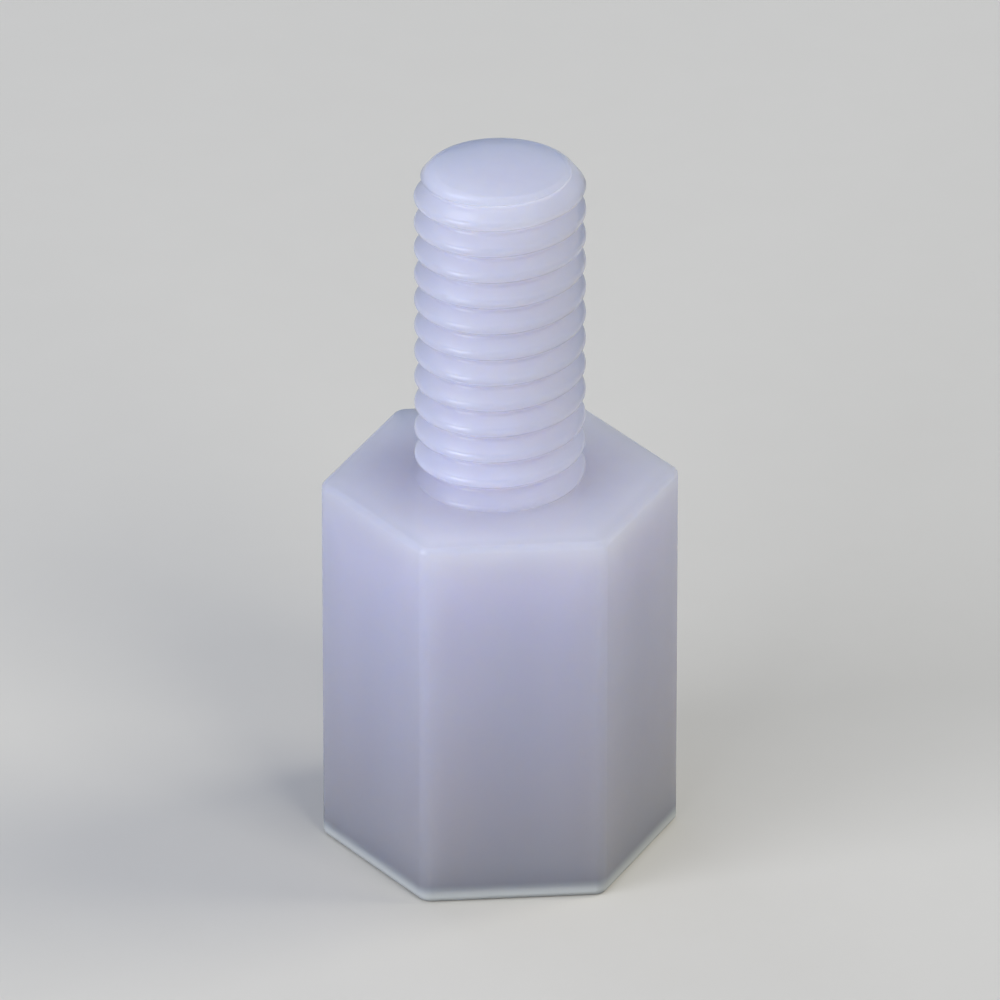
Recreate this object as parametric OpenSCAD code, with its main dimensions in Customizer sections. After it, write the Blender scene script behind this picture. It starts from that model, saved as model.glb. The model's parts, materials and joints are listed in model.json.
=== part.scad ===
// Male-female hexagonal standoff, moulded in one piece.
// The tapped hole opens at z = 0, the shoulder is at z = body_l and the threaded stud points up.
// Threads are left plain: the stud has their outside diameter and the hole their tapping size.

/* [Hexagonal body] */
// Distance between two opposite flats
across_flats = 5.5; // [4.5:0.1:8]
// Height from the open end to the shoulder
body_l = 7; // [5:0.5:30]
// Radius along the six upright edges
side_edge_r = 0.25; // [0.1:0.05:0.5]
// Radius round the outline of the two end faces
end_edge_r = 0.12; // [0.06:0.02:0.3]

/* [Thread] */
// Outside diameter of the metric thread, the same on the stud and in the hole
thread_d = 3; // [2.5:0.1:3.4]
// Distance from one turn to the next
thread_pitch = 0.5; // [0.35:0.05:0.7]

/* [Stud] */
// Height of the stud above the shoulder
stud_l = 6; // [3:0.5:12]
// Height of the bevel that leads the tip into a nut
tip_bevel_h = 0.3; // [0.2:0.05:1]
// How far the tip's flat end stays inside the bottom of the thread's groove
tip_gap = 0.05; // [0:0.01:0.15]
// Radius between the bevel and the flat end
tip_edge_r = 0.2; // [0.05:0.01:0.3]
// Radius in the corner between the stud and the shoulder
root_r = 0.15; // [0.05:0.01:0.3]

/* [Tapped hole] */
// Solid left between the end of the hole and the shoulder
floor_t = 1.5; // [0.8:0.1:3]
// How far the countersunk mouth opens past the thread's outside
mouth_gap = 0.1; // [0.05:0.01:0.3]
// Radius round the blind end
hole_end_r = 0.3; // [0.1:0.05:0.6]

/* [Hidden] */
$fn = 96;

flats = 6;
flat_turn = 360 / flats;           // from one flat to the next
corner_r = across_flats / 2 / cos(flat_turn / 2);
bar_l = 2 * across_flats;          // long enough to pass every corner
blend = 8;                         // a rounding meets its faces at this angle, so it leaves no sliver

groove_h = 0.6134 * thread_pitch;  // depth of a metric thread, as a share of its pitch
stud_r = thread_d / 2;
tip_r = stud_r - groove_h - tip_gap;
bevel_w = stud_r - tip_r;
bevel_len = norm([bevel_w, tip_bevel_h]);
tip_angle = 90 + atan2(bevel_w, tip_bevel_h);     // inside the stud, between bevel and flat end
tip_tangent = tip_edge_r / tan(tip_angle / 2);    // from that corner to where its rounding starts
stud_seat = floor_t / 2;           // how far the stud runs down into the body
root_centre = root_r * cos(blend); // from stud and shoulder to the middle of their rounded corner

hole_r = (thread_d - thread_pitch) / 2;
hole_l = body_l - floor_t;
mouth_r = stud_r + mouth_gap;
mouth_l = mouth_r - hole_r;        // the mouth is countersunk at 45 degrees
cut_past = mouth_l;                // how far the hole's cutter starts outside the open end

// A rectangle from [-w / 2, 0] to [w / 2, h] with round corners.
module rounded_section(w, h, r) {
    translate([-w / 2 + r, 0])
        square([w - 2 * r, h]);
    translate([-w / 2, r])
        square([w, h - 2 * r]);
    for (x = [-w / 2 + r, w / 2 - r], y = [r, h - r])
        translate([x, y])
            circle(r);
}

// A long bar that ends in one pair of opposite flats, with the end-face radius along them.
module flat_pair() {
    rotate([90, 0, 0])
        linear_extrude(height = bar_l, center = true)
            rounded_section(across_flats, body_l, end_edge_r);
}

// What one upright edge of the sharp hexagon loses when it is rounded, seen from above.
module edge_waste(r) {
    centre = corner_r - r * cos(blend) / cos(flat_turn / 2);
    reach = 2 * r;                  // far enough out to take the whole sharp corner
    difference() {
        polygon([
            [centre, 0],
            [centre + reach * cos(flat_turn / 2), -reach * sin(flat_turn / 2)],
            [corner_r + r, 0],
            [centre + reach * cos(flat_turn / 2), reach * sin(flat_turn / 2)]
        ]);
        translate([centre, 0])
            circle(r);
    }
}

// The solid hexagon: three pairs of flats meet, and the upright edges are rounded.
module hexagon() {
    difference() {
        intersection_for(i = [0 : flats / 2 - 1])
            rotate((i + 0.5) * flat_turn)
                flat_pair();
        for (i = [0 : flats - 1])
            rotate(i * flat_turn)
                translate([0, 0, -side_edge_r])
                    linear_extrude(height = body_l + 2 * side_edge_r)
                        edge_waste(side_edge_r);
    }
}

// Half of the stud's section, with the shoulder at height 0.
module stud_section() {
    polygon([
        [0, -stud_seat],
        [stud_r, -stud_seat],
        [stud_r, stud_l - tip_bevel_h],
        [tip_r + tip_tangent * bevel_w / bevel_len, stud_l - tip_tangent * tip_bevel_h / bevel_len],
        [tip_r - tip_tangent, stud_l],
        [0, stud_l]
    ]);
    translate([tip_r - tip_tangent, stud_l - tip_edge_r])
        circle(tip_edge_r);
    difference() {
        translate([0, -stud_seat])
            square([stud_r + root_r, stud_seat + root_centre]);
        translate([stud_r + root_centre, root_centre])
            circle(root_r);
    }
}

// Half of the hole's section, with its mouth at height 0.
module hole_section() {
    polygon([
        [0, -cut_past],
        [mouth_r + cut_past, -cut_past],
        [hole_r, mouth_l],
        [hole_r, hole_l - hole_end_r],
        [hole_r - hole_end_r, hole_l],
        [0, hole_l]
    ]);
    translate([hole_r - hole_end_r, hole_l - hole_end_r])
        circle(hole_end_r);
}

module standoff() {
    color([0.80, 0.82, 0.88])
        difference() {
            union() {
                hexagon();
                translate([0, 0, body_l])
                    rotate_extrude()
                        stud_section();
            }
            rotate_extrude()
                hole_section();
        }
}

standoff();
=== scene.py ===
import json
import math

import bmesh
import bpy
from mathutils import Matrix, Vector


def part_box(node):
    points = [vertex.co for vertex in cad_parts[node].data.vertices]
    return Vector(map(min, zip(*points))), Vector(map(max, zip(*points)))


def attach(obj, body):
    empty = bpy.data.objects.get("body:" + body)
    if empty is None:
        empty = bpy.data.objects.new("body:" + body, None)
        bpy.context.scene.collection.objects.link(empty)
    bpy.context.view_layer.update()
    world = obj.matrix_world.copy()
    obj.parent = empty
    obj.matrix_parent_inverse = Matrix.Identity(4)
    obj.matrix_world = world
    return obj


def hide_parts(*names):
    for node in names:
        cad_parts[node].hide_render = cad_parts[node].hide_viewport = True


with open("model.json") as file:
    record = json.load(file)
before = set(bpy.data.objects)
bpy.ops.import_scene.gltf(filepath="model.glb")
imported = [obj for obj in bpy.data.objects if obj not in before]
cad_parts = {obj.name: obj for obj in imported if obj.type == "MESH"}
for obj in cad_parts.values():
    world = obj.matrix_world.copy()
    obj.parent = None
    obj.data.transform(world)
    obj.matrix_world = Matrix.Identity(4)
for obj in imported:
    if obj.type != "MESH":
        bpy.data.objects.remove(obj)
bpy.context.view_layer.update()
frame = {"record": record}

bpy.ops.object.select_all(action='DESELECT')

# ---------------------------------------------------------------------------
# Hexagonal body
# The whole standoff is one piece of natural nylon out of one mould, and the body is its hexagon:
# its flats take a spanner, and the cooling nylon leaves every edge softly rounded. It is shaped
# in millimetres, because the edit tools weld at fixed distances, and ends up in metres.
# ---------------------------------------------------------------------------
MM = 1000.0
low, high = [Vector(corner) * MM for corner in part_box("standoff")]
mounts = {mount["name"]: mount for mount in frame["record"]["mounts"]}

across_flats = high.y - low.y
shoulder_z = mounts["shoulder"]["pos_m"][2] * MM
flat_turn = math.radians(60)
upright_edge_r = 0.25
end_edge_r = 0.12
same_place = 1e-3


def pick(piece, kind, test):
    """Select in edit mode only the verts, edges or faces that pass the test."""
    bpy.ops.mesh.select_mode(type=kind.upper().removesuffix("S"))
    bpy.ops.mesh.select_all(action='DESELECT')
    work = bmesh.from_edit_mesh(piece.data)
    for element in getattr(work, kind):
        if test(element):
            element.select_set(True)
    work.select_flush_mode()
    bmesh.update_edit_mesh(piece.data)


def round_edges(offset, segments):
    bpy.ops.mesh.bevel(offset=offset, offset_type='OFFSET', segments=segments, profile=0.5,
                       affect='EDGES')


def is_upright(edge):
    start, end = (vert.co for vert in edge.verts)
    return (start.xy - end.xy).length < same_place


def is_level(edge):
    start, end = (vert.co for vert in edge.verts)
    return abs(start.z - end.z) < same_place


bpy.ops.mesh.primitive_cylinder_add(vertices=6, radius=across_flats / 2 / math.cos(flat_turn / 2),
                                    depth=shoulder_z, location=(0, 0, shoulder_z / 2))
moulding = bpy.context.object
moulding.name = "standoff_moulding"
bpy.ops.object.mode_set(mode='EDIT')
bpy.ops.mesh.select_all(action='SELECT')
bpy.ops.transform.rotate(value=flat_turn / 2, orient_axis='Z', center_override=(0, 0, 0))
pick(moulding, "edges", is_upright)
round_edges(upright_edge_r * math.tan(flat_turn / 2), segments=6)
pick(moulding, "edges", is_level)
round_edges(end_edge_r, segments=4)
bpy.ops.object.mode_set(mode='OBJECT')
bpy.ops.object.transform_apply(location=True, rotation=True, scale=True)

# ---------------------------------------------------------------------------
# Threaded stud
# A right-hand metric thread, moulded in one with the body from the shoulder to the tip. Moulded
# crests and grooves are rounder than cut ones, the last turn runs out on a bevelled tip, and the
# first one starts from a small flare that strengthens the root.
# ---------------------------------------------------------------------------
pitch = 0.5
flank_angle = math.radians(30)
stud_thread_h = 0.5413 * pitch     # the height of a metric outside thread, as a share of its pitch
crest_w = 0.24 * pitch
softness = 0.48                    # how much of a crest's or groove's width its rounding takes
spare_turns = 2                    # made past each end of a rod, and cut off
stud_r = mounts["stud"]["dims"]["r_mm"]
tip_z = high.z
tip_r = 1.24
tip_bevel_h = 0.32
tip_edge_r = 0.25
root_r = 0.15                      # how far the flare spreads past the crests
flare_r = 0.5                      # radius of the flare's curve
flare_turn = 75                    # degrees that the curve turns through


def face_outwards(piece):
    bpy.ops.mesh.select_all(action='SELECT')
    bpy.ops.mesh.normals_make_consistent(inside=False)
    if bmesh.from_edit_mesh(piece.data).calc_volume(signed=True) < 0:
        bpy.ops.mesh.flip_normals()


def threaded_rod(name, groove_r, crest_r, bottom, top, steps):
    """Lathe one turn of the thread's profile up the Z axis and cut the rod off flat."""
    bpy.ops.mesh.primitive_plane_add(size=pitch)
    rod = bpy.context.object
    rod.name = name
    bpy.ops.object.mode_set(mode='EDIT')
    bpy.ops.mesh.select_mode(type='VERT')
    bpy.ops.mesh.select_all(action='SELECT')
    bpy.ops.mesh.merge(type='CENTER')
    start = bottom - spare_turns * pitch
    bpy.ops.transform.translate(value=(groove_r, 0, start))
    depth = crest_r - groove_r
    flank = depth * math.tan(flank_angle)
    groove_w = pitch - crest_w - 2 * flank
    for out, up in ((0, groove_w / 2), (depth, flank), (0, crest_w), (-depth, flank),
                    (0, groove_w / 2)):
        bpy.ops.mesh.extrude_region_move(TRANSFORM_OT_translate={"value": (out, 0, up)})

    middle_r = groove_r + depth / 2
    ends = (start, start + pitch)
    for width, is_rounded in (
            (crest_w, lambda vert: vert.co.x > middle_r),
            (groove_w, lambda vert: vert.co.x < middle_r
             and min(abs(vert.co.z - end) for end in ends) > same_place)):
        pick(rod, "verts", is_rounded)
        bpy.ops.mesh.bevel(offset=softness * width, offset_type='OFFSET', segments=4, profile=0.5,
                           affect='VERTICES')
    bpy.ops.object.mode_set(mode='OBJECT')

    turns = rod.modifiers.new("turns", 'SCREW')
    turns.axis = 'Z'
    turns.angle = math.tau
    turns.screw_offset = pitch
    turns.steps = turns.render_steps = steps
    turns.iterations = int((top - bottom) / pitch) + 2 * spare_turns
    bpy.ops.object.modifier_apply(modifier=turns.name)

    bpy.ops.object.mode_set(mode='EDIT')
    bpy.ops.mesh.select_all(action='SELECT')
    bpy.ops.mesh.remove_doubles(threshold=same_place / 2)
    for height, side in ((bottom, -1), (top, 1)):
        bpy.ops.mesh.select_all(action='SELECT')
        bpy.ops.mesh.bisect(plane_co=(0, 0, height), plane_no=(0, 0, side), use_fill=False,
                            clear_outer=True, threshold=same_place / 100)
        pick(rod, "edges", lambda edge: edge.is_boundary
             and all(abs(vert.co.z - height) < same_place / 10 for vert in edge.verts))
        bpy.ops.mesh.edge_face_add()
        bpy.ops.mesh.poke()
    face_outwards(rod)
    bpy.ops.object.mode_set(mode='OBJECT')
    return rod


def turned_blank(name, profile, vertices=96):
    """A round solid whose radius follows (radius, z) points from the bottom up."""
    radius, bottom = profile[0]
    bpy.ops.mesh.primitive_circle_add(vertices=vertices, radius=radius, fill_type='NGON')
    blank = bpy.context.object
    blank.name = name
    bpy.ops.object.mode_set(mode='EDIT')
    bpy.ops.mesh.select_all(action='SELECT')
    bpy.ops.transform.translate(value=(0, 0, bottom))
    for (last_r, last_z), (next_r, next_z) in zip(profile, profile[1:]):
        bpy.ops.mesh.extrude_region_move(
            TRANSFORM_OT_translate={"value": (0, 0, next_z - last_z)})
        scale = next_r / last_r
        bpy.ops.transform.resize(value=(scale, scale, 1), center_override=(0, 0, next_z))
    face_outwards(blank)
    bpy.ops.object.mode_set(mode='OBJECT')
    return blank


def even_steps(angle, steps=5):
    """Angles in even steps up to this one in degrees, for the points along a rounding."""
    return [math.radians(angle * step / steps) for step in range(steps + 1)]


def combine(piece, tool, operation):
    """Unite with, cut by or keep only the tool, which is used up."""
    bpy.ops.object.select_all(action='DESELECT')
    bpy.context.view_layer.objects.active = piece
    piece.select_set(True)
    joint = piece.modifiers.new("combine", 'BOOLEAN')
    joint.operation = operation
    joint.solver = 'MANIFOLD'
    joint.object = tool
    bpy.ops.object.modifier_apply(modifier=joint.name)
    bpy.data.objects.remove(tool)


stud_seat = 0.54                   # also turns the thread, so that a crest ends under the bevel
stud = threaded_rod("stud", stud_r - stud_thread_h, stud_r, shoulder_z - stud_seat,
                    tip_z + pitch, steps=96)

past_crest = 0.02                  # between the crests and the tool that shapes the tip
bevel_lean = math.atan2(stud_r - tip_r, tip_bevel_h)
tip_edge_turn = math.pi / 2 - bevel_lean
bevel_z = tip_z - tip_bevel_h - past_crest / math.tan(bevel_lean)
envelope = turned_blank("stud_envelope", (
    (stud_r + past_crest, shoulder_z - 2 * stud_seat), (stud_r + past_crest, bevel_z),
    (tip_r, tip_z)), vertices=128)
bpy.ops.object.mode_set(mode='EDIT')
for height, turn in ((tip_z, tip_edge_turn), (bevel_z, bevel_lean)):
    pick(envelope, "edges", lambda edge: is_level(edge)
         and abs(edge.verts[0].co.z - height) < same_place)
    round_edges(tip_edge_r * math.tan(turn / 2), segments=5)
bpy.ops.object.mode_set(mode='OBJECT')
combine(stud, envelope, 'INTERSECT')
combine(moulding, stud, 'UNION')

flare = turned_blank("root_flare", [(stud_r + root_r, shoulder_z - stud_seat)] + [
    (stud_r + root_r - flare_r * math.sin(a), shoulder_z + flare_r * (1 - math.cos(a)))
    for a in even_steps(flare_turn)])
combine(moulding, flare, 'UNION')

# ---------------------------------------------------------------------------
# Tapped hole
# A threaded core pin leaves a blind M3 hole up from the open end, and it is unscrewed while the
# nylon is still warm. The mouth is countersunk so that a screw starts straight, and the blind
# end is rounded.
# ---------------------------------------------------------------------------
hole_r = mounts["tapped_hole"]["dims"]["r_mm"]
mouth_h = mounts["tapped_hole"]["pos_m"][2] * MM
wall_top = mouth_h + mounts["tapped_hole"]["dims"]["length_mm"]
blind_end_r = 0.3
run_out = 0.07                     # plain wall between the last turn and the rounded end
clearance = 0.03                   # between a screw's crests and the hole's grooves
skim = 0.004                       # keeps the rounded end just inside the crests
past_wall = 0.05                   # how far the countersink's tip passes the crests

core = threaded_rod("core_pin", hole_r, stud_r + clearance, -mouth_h, wall_top - run_out,
                    steps=64)
combine(moulding, core, 'DIFFERENCE')
end_r = hole_r - skim
blind_end = turned_blank("blind_end", [(end_r, wall_top - pitch)] + [
    (end_r - blind_end_r * (1 - math.cos(a)), wall_top + blind_end_r * math.sin(a))
    for a in even_steps(90)])
combine(moulding, blind_end, 'DIFFERENCE')
mouth = turned_blank("countersink", (
    (hole_r + 2 * mouth_h, -mouth_h), (hole_r - past_wall, mouth_h + past_wall)))
combine(moulding, mouth, 'DIFFERENCE')

# ---------------------------------------------------------------------------
# Finished moulding
# Body, stud and hole leave the mould as one piece with one skin. Natural nylon is milky and a
# little blue, light travels some millimetres inside it, and the polished mould leaves a satin
# surface with faint clouds and flow lines.
# ---------------------------------------------------------------------------
smooth_angle = math.radians(38)
milky = (0.615, 0.605, 0.735)
milky_pale = (0.645, 0.635, 0.75)
flow_line = (0.665, 0.655, 0.755)
blue_body = (0.645, 0.645, 0.92)
# painted shade: the darker colour that the body fades to towards its foot
foot_painted_shade = (0.28, 0.265, 0.25)
# painted highlight: the pale colour put along the bottom rim
rim_painted_light = (0.62, 0.63, 0.58)
flow_share = 0.35                  # how much of a flow line's own colour shows
blue_share = 0.5
edge_shade_value = 0.87                   # how bright painted shade leaves a fully shaded edge
top_shade_share = 0.5                    # how fully painted shade covers the top edge, and then the upright edges
upright_shade_share = 0.6
rim_scatter = 0.2                  # light inside the rim, as a share of what is inside the rest
smoothest = 0.19
roughest = 0.26
wave_share = 0.4                   # heights of the skin's waves and grain, as shares of its relief
grain_share = 0.024
relief_h = 0.00001                 # in metres, as Blender's own lengths are

# Where each shade fades, in millimetres: up the axis, or inwards from the nearest flat, or sideways
# from the nearest upright edge.
blue_up = (shoulder_z - 0.9, shoulder_z + 0.1)
body_up = (shoulder_z, shoulder_z + 0.4)
foot_up = (-3.0, 10.5)
top_up = (shoulder_z - 1.6, shoulder_z - 0.2)
rim_up = (0.12, 0.36)
side_in = (0.08, 0.30)
top_in = (0.10, 0.45)
corner_aside = (0.0, 1.0)

bpy.ops.object.select_all(action='DESELECT')
bpy.context.view_layer.objects.active = moulding
moulding.select_set(True)
bpy.ops.object.mode_set(mode='EDIT')
bpy.ops.mesh.select_all(action='SELECT')
bpy.ops.mesh.dissolve_degenerate(threshold=same_place)
bpy.ops.transform.resize(value=(1 / MM, 1 / MM, 1 / MM), center_override=(0, 0, 0))
bpy.ops.object.mode_set(mode='OBJECT')
bpy.ops.object.shade_smooth_by_angle(angle=smooth_angle)
even = moulding.modifiers.new("even_shading", 'WEIGHTED_NORMAL')
even.keep_sharp = True
bpy.ops.object.modifier_apply(modifier=even.name)


def add_node(tree, kind, sockets=(), **settings):
    """Add a node: each socket takes another node's output, or a plain number or vector."""
    node = tree.nodes.new(kind)
    for name, value in settings.items():
        setattr(node, name, value)
    for name, value in dict(sockets).items():
        if isinstance(value, bpy.types.NodeSocket):
            tree.links.new(value, node.inputs[name])
        else:
            node.inputs[name].default_value = value
    return node


def work_out(tree, operation, *values):
    return add_node(tree, "ShaderNodeMath", enumerate(values), operation=operation).outputs[0]


def fade(tree, value, start, end, at_start=0.0, at_end=1.0):
    """Go smoothly from at_start to at_end while the value goes from start to end."""
    return add_node(tree, "ShaderNodeMapRange", {
        "Value": value, "From Min": start, "From Max": end, "To Min": at_start,
        "To Max": at_end}, interpolation_type='SMOOTHSTEP').outputs["Result"]


def tint(tree, mask, colour, other):
    """The colour where the mask is 0, and the other one where it is 1."""
    first, second = (value if isinstance(value, bpy.types.NodeSocket) else (*value, 1)
                     for value in (colour, other))
    return add_node(tree, "ShaderNodeMix", {"Factor": mask, 6: first, 7: second},
                    data_type='RGBA').outputs[2]


# Cloudy patches, sized per millimetre and drawn out along an axis by a stretch below 1.
mottle = bpy.data.node_groups.new("mottle", 'ShaderNodeTree')
for name, kind in (("Position", 'NodeSocketVector'), ("Stretch", 'NodeSocketVector'),
                   ("Shift", 'NodeSocketVector'), ("Scale", 'NodeSocketFloat'),
                   ("Detail", 'NodeSocketFloat')):
    mottle.interface.new_socket(name=name, in_out='INPUT', socket_type=kind)
mottle.interface.new_socket(name="Amount", in_out='OUTPUT', socket_type='NodeSocketFloat')
given = add_node(mottle, "NodeGroupInput").outputs
in_mm = add_node(mottle, "ShaderNodeVectorMath", {0: given["Stretch"], "Scale": MM},
                 operation='SCALE').outputs[0]
placed = add_node(mottle, "ShaderNodeMapping", {
    "Vector": given["Position"], "Location": given["Shift"], "Scale": in_mm}).outputs["Vector"]
patches = add_node(mottle, "ShaderNodeTexNoise", {
    "Vector": placed, "Scale": given["Scale"], "Detail": given["Detail"]}).outputs["Fac"]
add_node(mottle, "NodeGroupOutput", {"Amount": fade(mottle, patches, start=0.3, end=0.7)})


def mottled(tree, position, scale, detail, stretch=(1, 1, 1), shift=(0, 0, 0)):
    return add_node(tree, "ShaderNodeGroup", {
        "Position": position, "Stretch": stretch, "Shift": shift, "Scale": scale,
        "Detail": detail}, node_tree=mottle).outputs["Amount"]


nylon = bpy.data.materials.new("natural_nylon")
nylon.use_nodes = True
tree = nylon.node_tree
skin = tree.nodes["Principled BSDF"]
skin.inputs["IOR"].default_value = 1.53
skin.inputs["Subsurface Radius"].default_value = (1.0, 0.84, 0.62)
skin.inputs["Subsurface Scale"].default_value = 0.006
skin.inputs["Subsurface Anisotropy"].default_value = 0.0
position = add_node(tree, "ShaderNodeTexCoord").outputs["Object"]
clouds = mottled(tree, position, scale=0.5, detail=2)
flow = mottled(tree, position, scale=2.2, detail=2, stretch=(1, 1, 0.09), shift=(3.1, 1.7, 0))
colour = tint(tree, clouds, milky, milky_pale)
colour = tint(tree, work_out(tree, 'MULTIPLY', flow, flow_share), colour, flow_line)

# The body is bluer than the solid stud. Its colour is also painted darker towards the foot: painted
# shade, added to the real light lost through the hollow foot.
coordinates = add_node(tree, "ShaderNodeSeparateXYZ", {"Vector": position}).outputs
x, y, z = (work_out(tree, 'MULTIPLY', coordinates[axis], MM) for axis in "XYZ")
colour = tint(tree, fade(tree, z, *blue_up, blue_share, 0.0), colour, blue_body)
in_body = fade(tree, z, *body_up, 1.0, 0.0)
colour = tint(tree, work_out(tree, 'MULTIPLY', in_body, fade(tree, z, *foot_up, 1.0, 0.0)),
              colour, foot_painted_shade)

# Depth inside the nearest flat, and distance to the nearest upright edge, both in millimetres.
wide, deep = work_out(tree, 'ABSOLUTE', x), work_out(tree, 'ABSOLUTE', y)
wide_part = work_out(tree, 'MULTIPLY', wide, math.cos(flat_turn / 2))
deep_part = work_out(tree, 'MULTIPLY', deep, math.sin(flat_turn / 2))
outwards = work_out(tree, 'MAXIMUM', deep, work_out(tree, 'ADD', wide_part, deep_part))
inside = work_out(tree, 'SUBTRACT', across_flats / 2, outwards)
sideways = work_out(tree, 'MINIMUM', deep, work_out(tree, 'ABSOLUTE', work_out(
    tree, 'SUBTRACT', wide_part, deep_part)))

# Painted shade darkens the colour along the top edge and the upright edges, which catch light from
# two sides, and a painted highlight makes the bottom rim pale.
on_side = fade(tree, inside, *side_in, 1.0, 0.0)
top_edge_shade = work_out(tree, 'MULTIPLY', fade(tree, inside, *top_in, 1.0, 0.0),
                    fade(tree, z, *top_up, 0.0, top_shade_share))
upright_shade = work_out(tree, 'MULTIPLY', on_side,
                        fade(tree, sideways, *corner_aside, upright_shade_share, 0.0))
painted_edge_shade = work_out(tree, 'MAXIMUM', top_edge_shade, upright_shade)
colour = add_node(tree, "ShaderNodeHueSaturation", {
    "Color": colour, "Value": fade(tree, painted_edge_shade, 0.0, 1.0, 1.0, edge_shade_value)}).outputs["Color"]
# Painted highlight: the colour is made pale along the bottom rim, and less light scatters inside
# it.
rim = work_out(tree, 'MULTIPLY', on_side, fade(tree, z, *rim_up, 1.0, 0.0))
colour = tint(tree, rim, colour, rim_painted_light)
tree.links.new(colour, skin.inputs["Base Color"])
tree.links.new(fade(tree, rim, 0.0, 1.0, 1.0, rim_scatter), skin.inputs["Subsurface Weight"])

satin = mottled(tree, position, scale=1.3, detail=3, shift=(5.0, 0, 2.0))
tree.links.new(fade(tree, satin, 0.0, 1.0, smoothest, roughest), skin.inputs["Roughness"])

waves = mottled(tree, position, scale=0.9, detail=1.5, shift=(0, 4.0, 0))
grain = mottled(tree, position, scale=14, detail=3)
relief = work_out(tree, 'ADD', work_out(tree, 'MULTIPLY', waves, wave_share),
                  work_out(tree, 'MULTIPLY', grain, grain_share))
bump = add_node(tree, "ShaderNodeBump", {"Height": relief, "Strength": 0.6, "Distance": relief_h})
tree.links.new(bump.outputs["Normal"], skin.inputs["Normal"])

moulding.data.materials.clear()
moulding.data.materials.append(nylon)
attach(moulding, "root")
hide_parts("standoff")

# ---------------------------------------------------------------------------
# Floor
# A round sheet of pale matt card, much larger than the part, with its edge curved up all round
# so that it also closes the view behind the part.
# ---------------------------------------------------------------------------
card_r = 0.34
rim_w = 0.06
rim_h = 0.05
bend_w = 0.04
pale_card = (0.71, 0.675, 0.595)
fibre_card = (0.715, 0.68, 0.60)
shade_card = (0.06, 0.06, 0.06)    # seen only by the light that the card throws back

bpy.ops.object.select_all(action='DESELECT')
bpy.ops.mesh.primitive_circle_add(vertices=128, radius=card_r, fill_type='NGON')
floor = bpy.context.object
floor.name = "floor"
bpy.ops.object.mode_set(mode='EDIT')
bpy.ops.mesh.select_all(action='SELECT')
bpy.ops.mesh.inset(thickness=rim_w)
pick(floor, "edges", lambda edge: edge.is_boundary)
bpy.ops.transform.translate(value=(0, 0, rim_h))
pick(floor, "edges", lambda edge: is_level(edge) and not edge.is_boundary)
round_edges(bend_w, segments=10)
bpy.ops.object.mode_set(mode='OBJECT')
bpy.ops.object.shade_smooth_by_angle(angle=smooth_angle)

card = bpy.data.materials.new("matt_card")
card.use_nodes = True
tree = card.node_tree
paper = tree.nodes["Principled BSDF"]
paper.inputs["Roughness"].default_value = 0.9
paper.inputs["Specular IOR Level"].default_value = 0.2
position = add_node(tree, "ShaderNodeTexCoord").outputs["Object"]
fibre = mottled(tree, position, scale=0.8, detail=5)
ray = add_node(tree, "ShaderNodeLightPath").outputs
seen = work_out(tree, 'MAXIMUM', ray["Is Camera Ray"], ray["Is Glossy Ray"])
colour = tint(tree, seen, shade_card, tint(tree, fibre, pale_card, fibre_card))
tree.links.new(colour, paper.inputs["Base Color"])
floor.data.materials.append(card)

# ---------------------------------------------------------------------------
# Light and camera
# Soft daylight from large boxes all round, strongest from the front left. One more window high on
# the left shows only as glints on the thread. The camera stands far off and looks down a little.
# ---------------------------------------------------------------------------
centre = Vector((0, 0, tip_z / 2)) / MM
lamp_distance = 0.4
cool = (0.83, 0.87, 1.0)
warm = (1.0, 0.99, 0.92)
sky_colour = (0.56, 0.68, 1.0)
sky_strength = 0.33

scene = bpy.context.scene
world = bpy.data.worlds.new("studio")
world.use_nodes = True
sky = world.node_tree.nodes["Background"]
sky.inputs["Color"].default_value = (*sky_colour, 1)
sky.inputs["Strength"].default_value = sky_strength
scene.world = world


def direction(azimuth, elevation):
    """From the object outwards: azimuth 0 is in front of it, and 90 on its right."""
    turn, lift = math.radians(azimuth), math.radians(elevation)
    return Vector((math.sin(turn) * math.cos(lift), -math.cos(turn) * math.cos(lift),
                   math.sin(lift)))


def softbox(name, azimuth, elevation, power, colour, width=0.2, shape='SQUARE', gloss=False,
            diffuse=True):
    outwards = direction(azimuth, elevation)
    bpy.ops.object.light_add(type='AREA', location=centre + lamp_distance * outwards)
    lamp = bpy.context.object
    lamp.name = name
    lamp.data.shape = shape
    lamp.data.size = width
    lamp.data.energy = power
    lamp.data.color = colour
    lamp.rotation_euler = outwards.to_track_quat('Z', 'Y').to_euler()
    lamp.visible_camera = False
    lamp.visible_glossy = gloss
    lamp.visible_diffuse = diffuse


softbox("window_left", -112, 58, 0.28, cool, width=0.18, shape='DISK', gloss=True, diffuse=False)
softbox("softbox_left", -65, 18, 0.95, cool, gloss=True)
softbox("softbox_front_left", -36, 10, 0.99, cool)
softbox("softbox_front_right", 30, 35, 0.57, warm)
softbox("softbox_right", 95, 40, 0.60, warm)
softbox("softbox_back_right", 140, 12, 0.10, warm)
softbox("softbox_back_left", -150, 15, 0.27, cool)

camera_distance = 0.28
towards_camera = direction(azimuth=-5, elevation=27.5)
view = bpy.data.cameras.new("camera")
view.lens = 575
view.sensor_width = 36
view.clip_start = 0.01
view.clip_end = 2
camera = bpy.data.objects.new("camera", view)
camera.location = centre + camera_distance * towards_camera
camera.rotation_euler = towards_camera.to_track_quat('Z', 'Y').to_euler()
scene.collection.objects.link(camera)
scene.camera = camera
scene.view_settings.view_transform = 'Standard'

bpy.context.view_layer.update()
